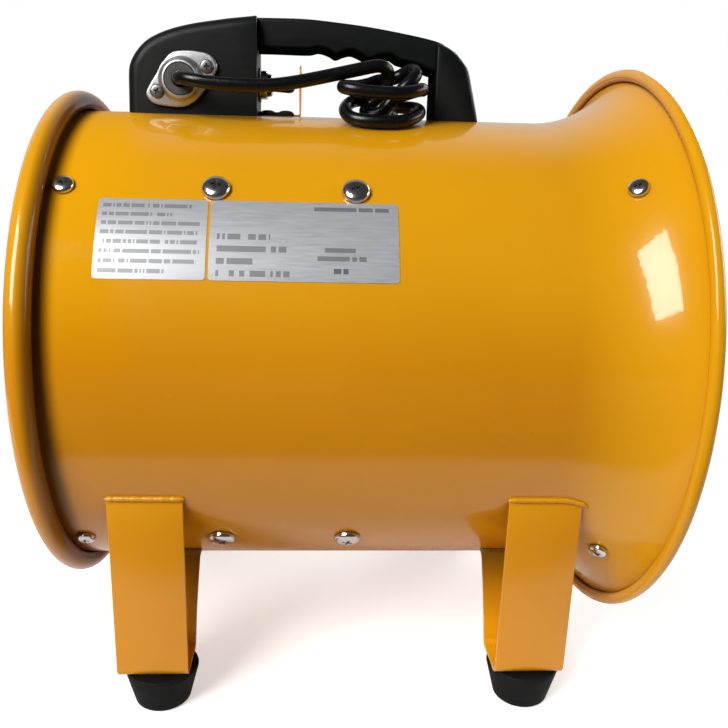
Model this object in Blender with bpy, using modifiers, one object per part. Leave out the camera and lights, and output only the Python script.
"""Portable axial utility blower: yellow sheet-metal barrel on four strap feet, with a
moulded carry handle. Air enters at the bell (+X) and leaves at the curled rim (-X).
+Z is up and the feet stand on Z = 0. Working dimensions below are millimetres measured
from the fan axis: x along it, y across, z up."""

import math

import bmesh
import bpy
from mathutils import Matrix, Vector

# ---- driving dimensions, mm ----
MM = 0.001  # metres in one millimetre
AXIS_H = 216.0  # fan axis above the floor
X_MID = 1.35  # middle of the rim-to-bell length, which becomes x = 0
BARREL_R = 154.0  # outside of the sheet
SHEET = 1.5
MID_R = BARREL_R - SHEET / 2  # middle of the sheet
BARREL_SEG = 48
GAP = 0.35  # clearance round the barrel for what stands on it
FACET_COS = math.cos(math.pi / BARREL_SEG)
CLEAR_X = -160.0  # -X end of the solids that clear the barrel

OUTLET_CURL_X = -178.0
OUTLET_CURL_R = 6.95  # outside of the curled sheet
BELL_START = 125.0
BELL_CURL_X = 184.0
BELL_CURL_RING = 186.2  # radius from the fan axis to the curl's centre
BELL_CURL_R = 3.8  # outside of the curled sheet
BELL_CURL_START = -30  # degrees round the curl where the flare meets it

OUTLET_SCREW_X = -162.8
BELL_SCREW_X = 161.3
STRUT_SCREW_X = (-78.5, 0.2)
SCREW_ANGLE = 43.5  # degrees above and below the horizontal
# number of each quarter to its angle, counted from +Y towards +Z
QUARTERS = {1: 180 - SCREW_ANGLE, 2: 180 + SCREW_ANGLE, 3: SCREW_ANGLE, 4: -SCREW_ANGLE}
SCREW_LIFT = 0.3  # gap below the heads on the straight barrel

FOOT_X = (-117.3, 117.5)
STRAP_X = (-120.2, 117.6)  # middle of each strap's width
FOOT_Y = 118.0
HANDLE_SCREW_X = (-55.3, -42.9)
CORD_ENTRY_X, CORD_ENTRY_Z = -109.8, 173.0
CLAMP_SCREWS = ((-93.0, 181.3), (-125.1, 165.4))  # x, z
SWITCH_Z = 174.0

# ---- scene ----
for old in list(bpy.data.objects):
    bpy.data.objects.remove(old, do_unlink=True)


def new_collection(name, parent):
    made = bpy.data.collections.new(name)
    parent.children.link(made)
    return made


PART = new_collection("utility_blower", bpy.context.scene.collection)
CUTTERS = new_collection("cutters", bpy.context.scene.collection)
CUTTERS.hide_render = True


# ---- materials ----
def paint(name, rgb, roughness, metallic=0.0):
    made = bpy.data.materials.new(name)
    made.use_nodes = True
    shader = made.node_tree.nodes["Principled BSDF"]
    shader.inputs["Base Color"].default_value = (*rgb, 1.0)
    shader.inputs["Metallic"].default_value = metallic
    shader.inputs["Roughness"].default_value = roughness
    return made


YELLOW = paint("yellow_paint", rgb=(0.75, 0.38, 0.012), roughness=0.25)
BLACK_WIRE = paint("black_wire_coat", rgb=(0.012, 0.012, 0.013), roughness=0.35)
PLASTIC = paint("black_handle_plastic", rgb=(0.010, 0.011, 0.011), roughness=0.5)
RUBBER = paint("black_rubber", rgb=(0.014, 0.016, 0.017), roughness=0.7)
ZINC = paint("bright_zinc", rgb=(0.62, 0.62, 0.6), roughness=0.25, metallic=1.0)
CASTING = paint("cast_alloy", rgb=(0.55, 0.55, 0.56), roughness=0.4, metallic=1.0)
STEEL = paint("machined_steel", rgb=(0.45, 0.45, 0.46), roughness=0.3, metallic=1.0)
MOTOR = paint("motor_enamel", rgb=(0.03, 0.03, 0.032), roughness=0.45)
COPPER = paint("copper_winding", rgb=(0.45, 0.16, 0.05), roughness=0.4, metallic=1.0)
FOIL = paint("silver_foil", rgb=(0.5, 0.52, 0.55), roughness=0.35, metallic=0.6)
ALUMINIUM = paint("impeller_aluminium", rgb=(0.5, 0.5, 0.5), roughness=0.4, metallic=1.0)
CORD = paint("cord_jacket", rgb=(0.010, 0.010, 0.011), roughness=0.45)

# ---- objects ----
AXIS = (0, 0, 0)
UPRIGHT = (0, 0, 0)
# turns that send local Z along the named direction
TO_X = (0, math.pi / 2, 0)
TO_Y = (-math.pi / 2, 0, 0)
TO_MINUS_Y = (math.pi / 2, 0, 0)


def place(x, y, z):
    """Working millimetres to scene metres."""
    return Vector(((x - X_MID) * MM, y * MM, (z + AXIS_H) * MM))


def add(name, mesh, material, at=AXIS, turn=UPRIGHT, group=PART):
    made = bpy.data.objects.new(name, mesh)
    made.location = place(*at)
    made.rotation_euler = turn
    if material and not mesh.materials:
        mesh.materials.append(material)
    group.objects.link(made)
    return made


def helper(name, mesh, at=AXIS, turn=UPRIGHT):
    """A hidden solid for a Boolean to use."""
    made = add(name, mesh, None, at, turn, CUTTERS)
    made.hide_render = True
    made.display_type = "WIRE"
    return made


def boolean(made, others, operation):
    """One Boolean with every helper in its own collection."""
    group = new_collection(made.name + "_" + operation.lower(), CUTTERS)
    group.hide_render = True
    for other in others:
        group.objects.link(other)
        CUTTERS.objects.unlink(other)
    change = made.modifiers.new(operation.title(), "BOOLEAN")
    change.operation = operation
    change.operand_type = "COLLECTION"
    change.collection = group
    change.solver = "EXACT"


def screw_on(made, steps):
    """Turn a profile about its local Z."""
    turn = made.modifiers.new("Revolve", "SCREW")
    turn.angle = 2 * math.pi
    turn.steps = steps
    turn.render_steps = steps
    turn.use_merge_vertices = True
    turn.merge_threshold = 0.00001
    turn.use_smooth_shade = False
    return made


# ---- meshes ----
def write_mesh(bm, mesh):
    bmesh.ops.recalc_face_normals(bm, faces=bm.faces[:])
    bm.to_mesh(mesh)
    bm.free()
    return mesh


def mesh_of(name, bm):
    return write_mesh(bm, bpy.data.meshes.new(name))


def prism_mesh(name, outline, low, high, across="Y"):
    """A polygon extruded. across Y: the outline is (x, z). across X: it is (y, z)."""
    bm = bmesh.new()
    if across == "Y":
        corners = [bm.verts.new((x * MM, low * MM, z * MM)) for x, z in outline]
        shift = Vector((0, (high - low) * MM, 0))
    else:
        corners = [bm.verts.new((low * MM, y * MM, z * MM)) for y, z in outline]
        shift = Vector(((high - low) * MM, 0, 0))
    grown = bmesh.ops.extrude_face_region(bm, geom=[bm.faces.new(corners)])
    moved = [item for item in grown["geom"] if isinstance(item, bmesh.types.BMVert)]
    bmesh.ops.translate(bm, verts=moved, vec=shift)
    return mesh_of(name, bm)


def box_mesh(name, low, high):
    bm = bmesh.new()
    bmesh.ops.create_cube(bm, size=1.0)
    size = [(end - start) * MM for start, end in zip(low, high)]
    middle = [(end + start) / 2 * MM for start, end in zip(low, high)]
    bmesh.ops.scale(bm, vec=size, verts=bm.verts[:])
    bmesh.ops.translate(bm, vec=middle, verts=bm.verts[:])
    return mesh_of(name, bm)


def rod_mesh(name, radius, low, high, sides=8, top_radius=None):
    bm = bmesh.new()
    top = radius if top_radius is None else top_radius
    bmesh.ops.create_cone(bm, cap_ends=True, segments=sides, radius1=radius * MM,
                          radius2=top * MM, depth=(high - low) * MM)
    bmesh.ops.translate(bm, vec=(0, 0, (high + low) / 2 * MM), verts=bm.verts[:])
    return mesh_of(name, bm)


def band_mesh(name, rings):
    """A solid through rings of four points each, capped at both ends."""
    bm = bmesh.new()
    loops = [[bm.verts.new((x * MM, y * MM, z * MM)) for x, y, z in ring] for ring in rings]
    for near, far in zip(loops, loops[1:]):
        for i in range(4):
            j = (i + 1) % 4
            bm.faces.new((near[i], near[j], far[j], far[i]))
    bm.faces.new(loops[0])
    bm.faces.new(loops[-1])
    return mesh_of(name, bm)


def profile_mesh(name, points, closed=False):
    """Edges through (radius, height), reversed if need be so the outer side runs downwards."""
    area = sum(start[0] * end[1] - end[0] * start[1]
               for start, end in zip(points, points[1:] + points[:1]))
    if area > 0:
        points = points[::-1]
    bm = bmesh.new()
    corners = [bm.verts.new((radius * MM, 0, height * MM)) for radius, height in points]
    for start, end in zip(corners, corners[1:]):
        bm.edges.new((start, end))
    if closed:
        bm.edges.new((corners[-1], corners[0]))
    mesh = bpy.data.meshes.new(name)
    bm.to_mesh(mesh)
    bm.free()
    return mesh


def lathe(name, points, material, steps, at=AXIS, turn=TO_X, closed=True):
    """A turned piece. An open profile starts and ends on its axis."""
    return screw_on(add(name, profile_mesh(name, points, closed), material, at, turn), steps)


def wire_mesh(name, points, radius):
    """A round wire along the points."""
    data = bpy.data.curves.new(name, "CURVE")
    data.dimensions = "3D"
    data.bevel_depth = radius * MM
    data.bevel_resolution = 1
    data.use_fill_caps = True
    line = data.splines.new("POLY")
    line.points.add(len(points) - 1)
    for point, (x, y, z) in zip(line.points, points):
        point.co = (*(place(x, y, z) - place(*AXIS)), 1)
    drawn = bpy.data.objects.new(name + "_curve", data)
    CUTTERS.objects.link(drawn)
    bpy.context.view_layer.update()
    graph = bpy.context.evaluated_depsgraph_get()
    mesh = bpy.data.meshes.new_from_object(drawn.evaluated_get(graph))
    bpy.data.objects.remove(drawn, do_unlink=True)
    mesh.materials.clear()  # an empty slot may come with the curve
    bm = bmesh.new()
    bm.from_mesh(mesh)
    bmesh.ops.remove_doubles(bm, verts=bm.verts[:], dist=0.00001)
    return write_mesh(bm, mesh)


# ---- bell flare: a Bezier in (x, radius) through the middle of the sheet ----
def arc(centre_x, centre_r, radius, start, end, count):
    angles = [math.radians(start + (end - start) * i / count) for i in range(count + 1)]
    return [(centre_x + radius * math.cos(angle), centre_r + radius * math.sin(angle))
            for angle in angles]


BELL_CURL = arc(BELL_CURL_X, BELL_CURL_RING, BELL_CURL_R - SHEET / 2, BELL_CURL_START, 262, 5)
FLARE_END_X, FLARE_END_R = BELL_CURL[0]
FLARE = ((BELL_START, MID_R), (BELL_START + 26.5, MID_R),
         (FLARE_END_X - 10.7, FLARE_END_R - 18.5), (FLARE_END_X, FLARE_END_R))


def flare_point(share):
    rest = 1 - share
    weights = (rest ** 3, 3 * rest * rest * share, 3 * rest * share * share, share ** 3)
    return tuple(sum(weight * value for weight, value in zip(weights, values))
                 for values in zip(*FLARE))


def flare_offset(share, out):
    """The point this far outwards from the flare's centre line, as (x, radius)."""
    normal_x, normal_r = flare_normal(share)
    x, radius = flare_point(share)
    return x + normal_x * out, radius + normal_r * out


def flare_normal(share):
    before = flare_point(max(share - 0.001, 0))
    after = flare_point(min(share + 0.001, 1))
    run, rise = after[0] - before[0], after[1] - before[1]
    size = math.hypot(run, rise)
    return -rise / size, run / size


# the bell's screws stand square to the flare
BELL_SHARE = min((abs(flare_point(i / 400)[0] - BELL_SCREW_X), i / 400) for i in range(400))[1]
BELL_NORMAL = flare_normal(BELL_SHARE)
BELL_LEAN = math.atan2(-BELL_NORMAL[0], BELL_NORMAL[1])


# ---- places round the barrel ----
def outward(angle):
    """Rotation that sends local Z outwards at this angle, counted from +Y towards +Z."""
    return (math.radians(angle) - math.pi / 2, 0, 0)


def ring_point(x, radius, angle):
    return (x, radius * math.cos(math.radians(angle)), radius * math.sin(math.radians(angle)))


def on_barrel(x, radius, angle):
    """Place and turn of something that stands square to the barrel."""
    return ring_point(x, radius, angle), outward(angle)


def on_bell(angle, out):
    """Place and turn of something that stands square to the flare, out from its centre line."""
    turn = Matrix.Rotation(outward(angle)[0], 3, "X") @ Matrix.Rotation(-BELL_LEAN, 3, "Y")
    return ring_point(*flare_offset(BELL_SHARE, out), angle), turn.to_euler()


# ---- barrel ----
def offset(points, distance):
    """An open line moved sideways, mitred at its corners."""
    moved = []
    for i, point in enumerate(points):
        normals = []
        for j in (i - 1, i):
            if 0 <= j < len(points) - 1:
                start, end = points[j], points[j + 1]
                size = math.hypot(end[0] - start[0], end[1] - start[1])
                normals.append((-(end[1] - start[1]) / size, (end[0] - start[0]) / size))
        across, up = sum(normal[0] for normal in normals), sum(normal[1] for normal in normals)
        size = math.hypot(across, up)
        across, up = across / size, up / size
        stretch = distance / (across * normals[0][0] + up * normals[0][1])
        moved.append((point[0] + across * stretch, point[1] + up * stretch))
    return moved


centre_line = arc(OUTLET_CURL_X, BARREL_R - SHEET + OUTLET_CURL_R, OUTLET_CURL_R - SHEET / 2,
                  -398, -90, 7)
centre_line += [flare_point(share) for share in (0, 0.25, 0.46, 0.66, 0.85)]
centre_line += BELL_CURL
sheet_outline = offset(centre_line, SHEET / 2) + offset(centre_line, -SHEET / 2)[::-1]
barrel = lathe("barrel_shell", [(radius, x) for x, radius in sheet_outline], YELLOW, BARREL_SEG)

HOLE_SMALL = rod_mesh("hole_small", 3.0, -8, 8)
HOLE_LARGE = rod_mesh("hole_large", 4.4, -8, 8)
HOLE_HANDLE = rod_mesh("hole_handle", 2.6, -8, 8)
holes = []
for n, angle in QUARTERS.items():
    holes.append(helper(f"hole_out_{n}", HOLE_SMALL, *on_barrel(OUTLET_SCREW_X, MID_R, angle)))
    holes.append(helper(f"hole_bell_{n}", HOLE_SMALL, *on_bell(angle, 0)))
    for k, x in zip("ab", STRUT_SCREW_X):
        holes.append(helper(f"hole_strut_{n}{k}", HOLE_LARGE, *on_barrel(x, MID_R, angle)))
for k, x in enumerate(HANDLE_SCREW_X):
    holes.append(helper(f"hole_handle_{k}", HOLE_HANDLE, (x, 0, MID_R)))
boolean(barrel, holes, "DIFFERENCE")


# ---- screws: pan heads standing just off the sheet ----
def pan_screw(name, head, rise, shank, length):
    return profile_mesh(name, [(0, rise), (head * 0.55, rise * 0.93), (head * 0.9, rise * 0.6),
                               (head, 0), (shank, 0), (shank, -length), (0, -length)])


GUARD_SCREW = pan_screw("guard_screw", head=6.0, rise=3.4, shank=2.4, length=7.6)
STRUT_SCREW = pan_screw("strut_screw", head=8.0, rise=4.4, shank=3.6, length=9.0)
HEAD_R = BARREL_R + SCREW_LIFT
BELL_HEAD_OUT = SHEET / 2 + 0.9
for n, angle in QUARTERS.items():
    screw_on(add(f"guard_screw_outlet_{n}", GUARD_SCREW, ZINC,
                 *on_barrel(OUTLET_SCREW_X, HEAD_R, angle)), 8)
    screw_on(add(f"guard_screw_inlet_{n}", GUARD_SCREW, ZINC, *on_bell(angle, BELL_HEAD_OUT)), 8)
    for k, x in zip("ab", STRUT_SCREW_X):
        screw_on(add(f"strut_screw_{n}{k}", STRUT_SCREW, ZINC, *on_barrel(x, HEAD_R, angle)), 8)

# ---- wire guards: rings on four spokes, each spoke ending in a drilled tab ----
RINGS = {24: 12, 45: 14, 66: 16, 87: 18, 108: 20, 128: 22, 146: 24}  # radius to facets
OUTER_RING = max(RINGS)
OUTER_WIRE_R, RING_WIRE_R, SPOKE_WIRE_R = 2.0, 1.6, 2.2
SPOKE_START_R = 4.0
OUTLET_GUARD_X, INLET_GUARD_X = -171.0, 151.0
OUTLET_TAB_R = 150.4
INLET_TAB_OUT = -SHEET / 2 - 1.9
TAB = box_mesh("guard_tab", (-9, -7, -1), (9, 7, 1))


def ring_section(name, radius, x, wire_r):
    """Diamond section of a ring's wire."""
    return profile_mesh(name, [(radius + wire_r, x), (radius, x - wire_r),
                               (radius - wire_r, x), (radius, x + wire_r)], closed=True)


def guard(side, x, tab_spot, spoke_end):
    """tab_spot gives a tab's place and turn at an angle. spoke_end lists (x, radius)."""
    name = f"{side}_guard"
    made = add(name, ring_section(name, OUTER_RING, x, OUTER_WIRE_R), BLACK_WIRE, turn=TO_X)
    screw_on(made, RINGS[OUTER_RING])
    more = []
    for radius, facets in RINGS.items():
        if radius != OUTER_RING:
            label = f"{name}_ring_{radius}"
            section = ring_section(label, radius, x, RING_WIRE_R)
            more.append(screw_on(helper(label, section, turn=TO_X), facets))
    boss = rod_mesh(f"{name}_boss", 12, -1.2, 1.2)
    more.append(helper(f"{name}_boss", boss, (x, 0, 0), TO_X))
    for n, angle in QUARTERS.items():
        label = f"{name}_spoke_{n}"
        line = [ring_point(along, radius, angle)
                for along, radius in [(x, SPOKE_START_R)] + spoke_end]
        more.append(helper(label, wire_mesh(label, line, SPOKE_WIRE_R)))
        more.append(helper(f"{side}_tab_{n}", TAB, *tab_spot(angle)))
    boolean(made, more, "UNION")
    boolean(made, [helper(f"{name}_eye_{n}", HOLE_SMALL, *tab_spot(angle))
                   for n, angle in QUARTERS.items()], "DIFFERENCE")


guard("outlet", OUTLET_GUARD_X, lambda angle: on_barrel(OUTLET_SCREW_X, OUTLET_TAB_R, angle),
      [(OUTLET_GUARD_X, 149.6), (-165.0, 149.9)])
guard("inlet", INLET_GUARD_X, lambda angle: on_bell(angle, INLET_TAB_OUT),
      [(INLET_GUARD_X, 148.0), flare_offset(BELL_SHARE, -SHEET / 2 - 2.2)])

# ---- motor struts: pressed channels from the barrel to the motor ----
CHANNEL = [  # y, z with the strut upright
    (-11, 151.4), (11, 151.4), (11, 148.9), (-8.5, 148.9),
    (-8.5, 62.9), (11, 62.9), (11, 60.4), (-11, 60.4),
]
STRUT = prism_mesh("motor_strut", CHANNEL, -92, 14, across="X")
STRUT_HOLE = rod_mesh("strut_hole", 4.2, 146, 154)
for n, angle in QUARTERS.items():
    strut = add(f"motor_strut_{n}", STRUT, YELLOW, turn=outward(angle))
    boolean(strut, [helper(f"strut_eye_{n}{k}", STRUT_HOLE, (x, 0, 0), outward(angle))
                    for k, x in zip("ab", STRUT_SCREW_X)], "DIFFERENCE")

# ---- motor: profiles are (radius, x); the front is the +X end ----
BORE_R = 6.35  # bore of what fits on the shaft
BEARING_LENGTH = 10

lathe("motor_casing", [(60, -112), (60, 8), (57, 8), (57, -112)], MOTOR, 32)
lathe("motor_cover_rear", [
    (0, -124), (54, -124), (60, -119), (60, -112.4), (57, -112.4), (57, -118), (53, -121),
    (20, -121), (20, -108), (16.4, -108), (16.4, -120), (0, -120),
], MOTOR, 24, closed=False)
lathe("motor_cover_front", [
    (6.8, 20), (54, 20), (60, 15), (60, 8.4), (57, 8.4), (57, 14), (53, 17),
    (20, 17), (20, 4), (16.4, 4), (16.4, 16), (6.8, 16),
], MOTOR, 24)
lathe("stator_winding", [
    (33.8, -82), (33.8, -22), (38, -22), (40, -8), (50, -8), (52, -22),
    (56.4, -22), (56.4, -82), (52, -82), (50, -96), (40, -96), (38, -82),
], COPPER, 24)
lathe("rotor_core", [
    (BORE_R, -88), (20, -88), (32, -86), (33.2, -82),
    (33.2, -22), (32, -18), (20, -16), (BORE_R, -16),
], STEEL, 24)
lathe("motor_shaft", [
    (0, -119.2), (5, -119.2), (6, -118.2), (6, 107), (5, 108), (0, 108),
], STEEL, 16, closed=False)
for side, low in (("front", 5.6), ("rear", -119.6)):
    for race, inside, outside in (("outer", 13, 16), ("inner", BORE_R, 9.6)):
        high = low + BEARING_LENGTH
        lathe(f"bearing_{side}_{race}",
              [(inside, low), (outside, low), (outside, high), (inside, high)], STEEL, 16)

# ---- impeller ----
BLADES = 5
BLADE_T = 2.6
BLADE_X = 73  # x of the blade's middle before camber
SPANS = (40.6, 68.0, 96.0, 123.0, 148.0)  # radii of the blade's stations
CHORD_SHARES = (-0.5, -0.22, 0.08, 0.5)
ROOT_PITCH, TWIST = 40, 17  # degrees at the root, and lost by the tip
ROOT_CHORD, CHORD_GAIN = 50, 52
SWEEP = 0.16  # radians gained by the tip
CAMBER = 5.0


def blade_mesh():
    """Twisted, cambered blade as a sheet: span outwards, chord round the hub."""
    bm = bmesh.new()
    rows = []
    for radius in SPANS:
        share = (radius - SPANS[0]) / (SPANS[-1] - SPANS[0])
        pitch = math.radians(ROOT_PITCH - TWIST * share)
        chord = ROOT_CHORD + CHORD_GAIN * share
        row = []
        for part in CHORD_SHARES:
            along = part * chord
            angle = along * math.cos(pitch) / radius + SWEEP * share
            bulge = CAMBER * (1 - 4 * part * part) * math.cos(pitch)
            x = BLADE_X + along * math.sin(pitch) + bulge
            row.append(bm.verts.new((x * MM, radius * MM * math.cos(angle),
                                     radius * MM * math.sin(angle))))
        rows.append(row)
    for low, high in zip(rows, rows[1:]):
        for i in range(len(CHORD_SHARES) - 1):
            bm.faces.new((low[i], low[i + 1], high[i + 1], high[i]))
    return mesh_of("blade", bm)


def blade(n, mesh):
    made = helper(f"blade_{n}", mesh, turn=(2 * math.pi * n / BLADES, 0, 0))
    skin = made.modifiers.new("Solidify", "SOLIDIFY")
    skin.thickness = BLADE_T * MM
    skin.offset = 0
    return made


impeller = lathe("impeller", [
    (BORE_R, 57), (13, 57), (13.5, 84), (28, 83), (37, 78), (39, 72), (39, 57),
    (42, 57), (42, 84), (36, 90), (24, 94), (14, 96), (BORE_R, 96),
], ALUMINIUM, 20)
BLADE = blade_mesh()
boolean(impeller, [blade(n, BLADE) for n in range(BLADES)], "UNION")
lathe("impeller_nut", [(7.4, 96.4), (10.4, 96.4), (10.4, 104.4), (7.4, 104.4)], ZINC, 6)

# ---- feet: a strap bent to a U, with a rubber foot through its floor ----
STRAP_T = 2.5
STRAP_PATH = [  # y, z, width on the -Y side: outer plate, floor, inner plate
    (-137.9, -60, 44.5), (-137.7, -68.6, 44.5), (-137.2, -70.8, 47.4), (-136.6, -73.0, 44.2),
    (-133.9, -183, 44), (-132.3, -188.2, 44), (-127.5, -190.3, 44), (-105.5, -190.3, 44),
    (-101.0, -188.2, 44), (-99.4, -183, 44), (-88.4, -136, 47.5), (-85.6, -122, 52),
]
FOOT = profile_mesh("rubber_foot", [
    (0, -181), (3.5, -181), (7.4, -186.6), (7.4, -188.6), (5, -188.6), (5, -191.9),
    (22.2, -191.9), (23, -193.2), (17.6, -214.2), (16, -AXIS_H), (0, -AXIS_H),
])
STEM_HOLE = rod_mesh("stem_hole", 5.7, -196, -185, 12)


def strap_mesh(side):
    """The strap for the side of this sign in y."""
    middle = [(y, z) for y, z, _ in STRAP_PATH]
    rings = []
    for (y0, z0), (y1, z1), (_, _, width) in zip(
            offset(middle, STRAP_T / 2), offset(middle, -STRAP_T / 2), STRAP_PATH):
        rings.append([(-width / 2, -side * y0, z0), (width / 2, -side * y0, z0),
                      (width / 2, -side * y1, z1), (-width / 2, -side * y1, z1)])
    return band_mesh("foot_bracket", rings)


def barrel_clear_mesh():
    """Profile of the barrel and the start of its bell, oversize so its flats clear them."""
    line = [(CLEAR_X, BARREL_R + GAP), (BELL_START, BARREL_R + GAP)]
    line += [flare_offset(share, SHEET / 2 + GAP) for share in (0.25, 0.46, 0.66)]
    points = [(radius / FACET_COS, x) for x, radius in line]
    return profile_mesh("barrel_clear", [(0, CLEAR_X)] + points + [(0, points[-1][1])])


BARREL_CLEAR = barrel_clear_mesh()
n = 0
for side in (-1, 1):
    strap_of_side = strap_mesh(side)
    for foot_x, strap_x in zip(FOOT_X, STRAP_X):
        n += 1
        foot_at = (foot_x, side * FOOT_Y, 0)
        strap = add(f"foot_bracket_{n}", strap_of_side, YELLOW, (strap_x, 0, 0))
        # the cutter's flats line up with the barrel's
        clear = screw_on(helper(f"strap_clear_{n}", BARREL_CLEAR, turn=TO_X), BARREL_SEG)
        boolean(strap, [clear, helper(f"stem_hole_{n}", STEM_HOLE, foot_at)], "DIFFERENCE")
        screw_on(add(f"rubber_foot_{n}", FOOT, RUBBER, foot_at), 16)

# ---- carry handle: hollow box at the -X end, grip, leg at the +X end; outlines are x, z ----
BOX_HALF_Y, HOLLOW_HALF_Y, GRIP_HALF_Y, LEG_HALF_Y = 24.0, 21.0, 15.0, 20.0
BOX_WALL_Y = -22  # where the -Y wall of the box is drilled
TONGUE_HOLE_Z = 156
BOX_OUTLINE = [
    (-143.3, 136), (-143.3, 155), (-142.4, 180.6), (-139.6, 186.7), (-134.3, 193.5),
    (-127.8, 198.4), (-116.2, 203.5), (-101.0, 207.6), (-80.0, 211.5), (-61.3, 214.0),
    (-61.3, 136),
]
BOX_HOLLOW = [
    (-140.0, 120), (-140.0, 155), (-139.3, 179.5), (-136.8, 184.8), (-132.0, 191.0),
    (-126.2, 195.4), (-115.2, 200.3), (-100.3, 204.4), (-80.0, 208.2), (-64.2, 210.2),
    (-64.2, 120),
]
GRIP_OUTLINE = [
    (-63, 195.5), (-63, 214.2), (-34, 214.4), (-14, 213.3), (17.5, 210.1), (54.8, 203.9),
    (66, 198.5), (66, 183.0), (54.5, 184.4), (44.0, 188.4), (33.0, 190.6), (27.0, 193.8),
    (20.0, 193.2), (13.0, 191.0), (7.0, 193.6), (1.0, 195.7), (-4.5, 194.6), (-9.5, 192.8),
    (-14.5, 195.2), (-21.0, 196.8), (-28.0, 195.5),
]
LEG_OUTLINE = [
    (56.8, 136), (56.8, 202.2), (59.4, 201.4), (64.8, 199.2), (70.3, 195.7), (76.0, 189.7),
    (79.0, 184.8), (82.5, 171.8), (86.2, 156.7), (90.5, 136),
]


def eased_prism(name, outline, half_width, ease):
    """A prism with the edges of its sides broken, except those the barrel cuts away."""
    mesh = prism_mesh(name, outline, -half_width, half_width)
    bm = bmesh.new()
    bm.from_mesh(mesh)
    picked = [edge for edge in bm.edges
              if abs(edge.verts[0].co.y - edge.verts[1].co.y) < 1e-6
              and max(corner.co.z for corner in edge.verts) > 140 * MM
              and edge.calc_length() > 0.002
              and len(edge.link_faces) == 2 and edge.calc_face_angle() > 1.2]
    bmesh.ops.bevel(bm, geom=picked, offset=ease * MM, segments=1, affect="EDGES",
                    clamp_overlap=True)
    return write_mesh(bm, mesh)


handle = add("carry_handle", eased_prism("carry_handle", BOX_OUTLINE, BOX_HALF_Y, 2.6), PLASTIC)
boolean(handle, [
    helper("grip_solid", eased_prism("grip_solid", GRIP_OUTLINE, GRIP_HALF_Y, 3.4)),
    helper("leg_solid", eased_prism("leg_solid", LEG_OUTLINE, LEG_HALF_Y, 2.6)),
    helper("tongue_solid", box_mesh("tongue_solid", (-66, -11, 148), (-37.4, 11, 156.1))),
], "UNION")
CLAMP_HOLE = rod_mesh("clamp_hole", 2.1, -6, 6)
handle_cuts = [
    helper("handle_clear", rod_mesh("shell_clear", (BARREL_R + GAP) / FACET_COS, CLEAR_X, 120,
                                    BARREL_SEG), turn=TO_X),
    helper("box_hollow", prism_mesh("box_hollow", BOX_HOLLOW, -HOLLOW_HALF_Y, HOLLOW_HALF_Y)),
    helper("flange_slot", box_mesh("flange_slot", (-60.2, -8.5, 140), (-30, 8.5, 155.2))),
    helper("cord_hole", rod_mesh("cord_hole", 9.6, -6, 6, 12),
           (CORD_ENTRY_X, BOX_WALL_Y, CORD_ENTRY_Z), TO_Y),
    helper("switch_hole", rod_mesh("switch_hole", 6.6, -6, 6, 12), (-62, 0, SWITCH_Z), TO_X),
]
handle_cuts += [helper(f"clamp_hole_{k}", CLAMP_HOLE, (x, BOX_WALL_Y, z), TO_Y)
                for k, (x, z) in enumerate(CLAMP_SCREWS, 1)]
handle_cuts += [helper(f"tongue_hole_{k}", HOLE_HANDLE, (x, 0, TONGUE_HOLE_Z))
                for k, x in enumerate(HANDLE_SCREW_X, 1)]
boolean(handle, handle_cuts, "DIFFERENCE")

HANDLE_SCREW = profile_mesh("handle_screw", [
    (0, 1.9), (2.8, 1.7), (4.4, 0.9), (5.0, 0), (2.1, 0), (2.1, -8), (0, -8)])
for k, x in enumerate(HANDLE_SCREW_X, 1):
    screw_on(add(f"handle_screw_{k}", HANDLE_SCREW, PLASTIC, (x, 0, 156.2)), 10)

# ---- toggle guard: painted angle plate, its flange under the tongue ----
FLANGE_LOW, FLANGE_HIGH = 154.2, 155.05
toggle_guard = add("toggle_guard", prism_mesh("toggle_guard", [  # y, z
    (-8, FLANGE_LOW), (8, FLANGE_LOW), (8, 181), (3, 186.6), (0, 187.2), (-3, 186.6), (-8, 181),
], -33.9, -32.4, across="X"), YELLOW)
flange = box_mesh("guard_flange", (-59.6, -8, FLANGE_LOW), (-33.0, 8, FLANGE_HIGH))
boolean(toggle_guard, [helper("guard_flange", flange)], "UNION")
boolean(toggle_guard, [helper(f"flange_hole_{k}", HOLE_HANDLE, (x, 0, 155))
                       for k, x in enumerate(HANDLE_SCREW_X)], "DIFFERENCE")

# ---- cord entry: cast plate with a collar on the -Y wall of the box ----
CLAMP_OUTLINE = [  # x, z
    (-110.6, 190.6), (-102.4, 190.9), (-93.5, 189.7), (-89.1, 187.4), (-86.6, 183.3),
    (-86.7, 179.7), (-89.3, 175.0), (-94.6, 167.6), (-98.4, 162.6), (-102.6, 159.1),
    (-108.4, 156.6), (-117.4, 156.4), (-127.0, 157.8), (-130.9, 160.7), (-132.4, 164.3),
    (-130.4, 168.9), (-124.6, 177.9), (-119.6, 185.4), (-115.6, 189.2),
]
clamp = add("cord_clamp_plate", prism_mesh("cord_clamp_plate", CLAMP_OUTLINE, -27.6, -24.4),
            CASTING)
boolean(clamp, [helper("collar", rod_mesh("collar", 13.2, -4, 3, 20, top_radius=12.2),
                       (CORD_ENTRY_X, -29.0, CORD_ENTRY_Z), TO_MINUS_Y)], "UNION")
clamp_cuts = [helper("collar_bore", rod_mesh("collar_bore", 10.0, -12, 12, 20),
                     (CORD_ENTRY_X, -27, CORD_ENTRY_Z), TO_Y)]
clamp_cuts += [helper(f"clamp_eye_{k}", CLAMP_HOLE, (x, -26, z), TO_Y)
               for k, (x, z) in enumerate(CLAMP_SCREWS, 1)]
boolean(clamp, clamp_cuts, "DIFFERENCE")

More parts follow.
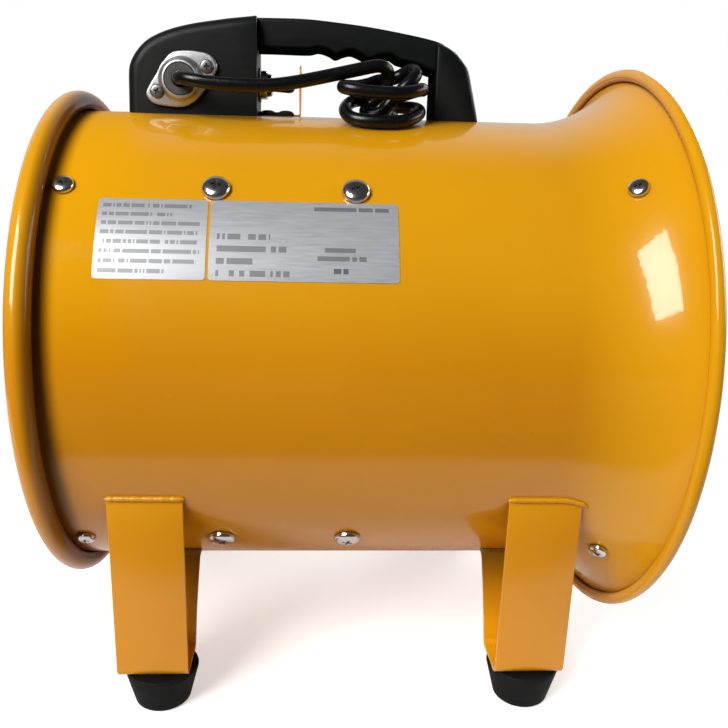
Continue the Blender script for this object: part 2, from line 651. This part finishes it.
CLAMP_SCREW = profile_mesh("clamp_screw", [
    (0, 2.4), (2.6, 2.2), (4.0, 1.3), (4.4, 0), (1.7, 0), (1.7, -8), (0, -8)])
for k, (x, z) in enumerate(CLAMP_SCREWS, 1):
    screw_on(add(f"clamp_screw_{k}", CLAMP_SCREW, ZINC, (x, -27.9, z), TO_MINUS_Y), 8)
lathe("cord_bushing", [
    (4.8, 18), (9.2, 18), (9.2, 24.3), (9.8, 24.3), (9.8, 31.2), (9.4, 31.6), (4.8, 31.6),
], RUBBER, 14, at=(CORD_ENTRY_X, 0, CORD_ENTRY_Z), turn=TO_MINUS_Y)

# ---- power cord: from the box, along the handle, hanked round itself twice, over to +Y ----
CORD_R = 4.1
LONG_STEP = 8  # lengths over this are split in two
CORD_PATH = [  # x, y, z
    (CORD_ENTRY_X, -12, CORD_ENTRY_Z), (CORD_ENTRY_X, -35, CORD_ENTRY_Z), (-108.6, -42, 172.7),
    (-104.5, -48, 171.6), (-97, -51, 170.2), (-85, -52, 168.9), (-68, -52, 168.4),
    (-50, -50.6, 168.9), (-34, -48, 171.6), (-17, -44.5, 175.6), (-5, -43, 178.5),
    (4.5, -42, 180.8), (12.5, -41, 182.7), (18, -39.5, 183.4), (22.2, -36.5, 181.8),
    (23.8, -33.5, 178), (23.2, -31.5, 173.5), (20.7, -30, 169), (17, -29, 165),
    (13.5, -27.8, 161.6), (10.6, -28.8, 158.8), (9.6, -32.6, 155.8), (13.2, -37, 154),
    (18.6, -38.4, 155.2), (22.6, -37.4, 158.8), (25.8, -37, 162.8), (29.5, -38, 167),
    (33.5, -39, 171), (38, -38, 175.3), (41.2, -35, 179.2), (41, -30, 182.4),
    (37.8, -25.5, 183), (33.5, -22, 180.7), (28.5, -21, 178.4), (22.5, -21.5, 177.4),
    (17, -24, 176), (11, -28.5, 173.4), (4, -35.5, 171.2), (-2.4, -41.8, 170.3),
    (-5.7, -46.8, 169.7), (-4.6, -51.8, 168.6), (1.4, -54.8, 167.3), (10.5, -55.8, 166.2),
    (20, -56, 165.8), (29, -55, 166), (37, -52, 167.2), (42.8, -47, 169.2),
    (45.4, -40, 169.8), (42.6, -33, 170), (37, -27.5, 168.5), (29, -21.8, 166.8),
    (20, -18.6, 165.8), (10.5, -19.6, 165), (1.5, -25, 163), (-3, -33.5, 159),
    (-4, -42, 155.4), (-1.2, -49, 151.6), (5, -53, 149.6), (14.3, -55, 148.8),
    (23.7, -55, 148.8), (32.7, -52.5, 149.8), (39.6, -47, 152.4), (44, -39, 156),
    (43.4, -31, 158.8), (39, -24, 160.2), (34, -17, 161), (30.5, -9, 162.4), (30, 0, 163),
    (31, 10, 162), (33, 23, 158.6), (36, 38, 154.2), (39.5, 56, 148.6), (43, 74, 140.8),
    (46, 92, 131), (49, 109, 122.6), (50, 121.5, 116.4), (50, 128.9, 111.6),
    (50, 132.6, 106.8), (50, 139.4, 94),
]


def rounded(points):
    """Catmull-Rom between the bends; the first and last lengths stay straight."""
    smooth = [points[0], points[1]]
    for i in range(1, len(points) - 2):
        before, start, end, after = (Vector(point) for point in points[i - 1:i + 3])
        count = 2 if (end - start).length > LONG_STEP else 1
        for k in range(1, count + 1):
            share = k / count
            smooth.append(tuple(0.5 * (
                (2 * start) + (end - before) * share
                + (2 * before - 5 * start + 4 * end - after) * share * share
                + (3 * start - before - 3 * end + after) * share ** 3)))
    return smooth + [points[-1]]


add("power_cord", wire_mesh("power_cord", rounded(CORD_PATH), CORD_R), CORD)

# ---- plug: hangs on the cord's end, on the +Y side of the barrel ----
PLUG_ANGLE = 62  # degrees round the fan axis from +Z towards +Y
PLUG_RADIUS = 167.2  # from the fan axis to the plug's axis
PLUG_AT = (CORD_PATH[-1][0], PLUG_RADIUS * math.sin(math.radians(PLUG_ANGLE)),
           PLUG_RADIUS * math.cos(math.radians(PLUG_ANGLE)))
PLUG_TURN = (math.radians(90 - PLUG_ANGLE), 0, 0)
EARTH_Y = 7.0  # earth pin's offset from the plug's axis

plug = lathe("power_plug", [
    (0, 14), (5.2, 14), (5.2, 30), (7, 30), (9, 12), (12.2, 6), (12.2, -18), (0, -18),
], CORD, 14, at=PLUG_AT, turn=PLUG_TURN, closed=False)
pins = [
    helper("plug_blade_0", box_mesh("blade_1", (-7.1, -3.1, -34), (-5.6, 3.1, -16)),
           PLUG_AT, PLUG_TURN),
    helper("plug_blade_1", box_mesh("blade_2", (5.6, -3.1, -34), (7.1, 3.1, -16)),
           PLUG_AT, PLUG_TURN),
    helper("plug_earth", rod_mesh("plug_earth", 2.4, -37, -16), PLUG_AT, PLUG_TURN),
]
for corner in pins[-1].data.vertices:
    corner.co.y += EARTH_Y * MM
boolean(plug, pins, "UNION")

# ---- switch ----
SWITCH_AT = (0, 0, SWITCH_Z)
SWITCH_HALF = 9  # half the body's width and height
switch = add("switch_body", box_mesh(
    "switch_body", (-93, -SWITCH_HALF, SWITCH_Z - SWITCH_HALF),
    (-64.6, SWITCH_HALF, SWITCH_Z + SWITCH_HALF)), MOTOR)
boolean(switch, [helper("switch_neck", rod_mesh("switch_neck", 6.0, -69, -59.8, 16),
                        SWITCH_AT, TO_X)], "UNION")
boolean(switch, [helper("switch_bore", rod_mesh("switch_bore", 4.1, -67, -50, 16),
                        SWITCH_AT, TO_X)], "DIFFERENCE")
lathe("on_off_plate", [(6.5, -60.9), (11.2, -60.9), (11.2, -59.7), (6.5, -59.7)], FOIL, 20,
      at=SWITCH_AT)
lathe("boot_nut", [
    (5.7, -59.4), (9.8, -59.4), (9.8, -56.4), (9.0, -55.4), (7.4, -55.2), (7.0, -52.4),
    (5.7, -52.4),
], ZINC, 12, at=SWITCH_AT)

# ---- toggle ----
TOGGLE_PIVOT = (-58.0, 0.0, SWITCH_Z)
TOGGLE_REST = 12.0  # degrees the lever leans from +X towards +Y
TOGGLE_TURN = (Matrix.Rotation(math.radians(TOGGLE_REST), 3, "Z")
               @ Matrix.Rotation(math.pi / 2, 3, "Y")).to_euler()
lathe("toggle_lever", [
    (0, -3.4), (2.4, -2.4), (3.4, 0), (2.4, 2.4), (1.8, 3.0), (1.8, 18.2), (1.2, 18.7), (0, 18.7),
], ZINC, 10, at=TOGGLE_PIVOT, turn=TOGGLE_TURN, closed=False)
lathe("toggle_boot", [
    (0, 21.5), (3.0, 20.7), (4.2, 18.2), (4.1, 7.0), (3.9, 4.6), (4.6, 2.2), (5.0, -0.3),
    (4.2, -0.3), (3.7, 1.8), (2.5, 4.2), (2.5, 19.0), (0, 19.6),
], RUBBER, 12, at=TOGGLE_PIVOT, turn=TOGGLE_TURN, closed=False)

# ---- foil plates: curved round the upper -Y side of the barrel ----
FOIL_IN, FOIL_OUT = BARREL_R + 0.5, BARREL_R + 0.8
FOIL_START, FOIL_END = 180 - 40.5, 180 - 22.4  # degrees, as for QUARTERS
FOIL_PARTS = 4


def foil(name, low, high):
    corners = ((low, FOIL_IN), (high, FOIL_IN), (high, FOIL_OUT), (low, FOIL_OUT))
    angles = [FOIL_START + (FOIL_END - FOIL_START) * k / FOIL_PARTS
              for k in range(FOIL_PARTS + 1)]
    rings = [[ring_point(x, radius, angle) for x, radius in corners] for angle in angles]
    add(name, band_mesh(name, rings), FOIL)


foil("foil_plate_small", -142, -82)
foil("foil_plate_large", -80.4, 23.7)
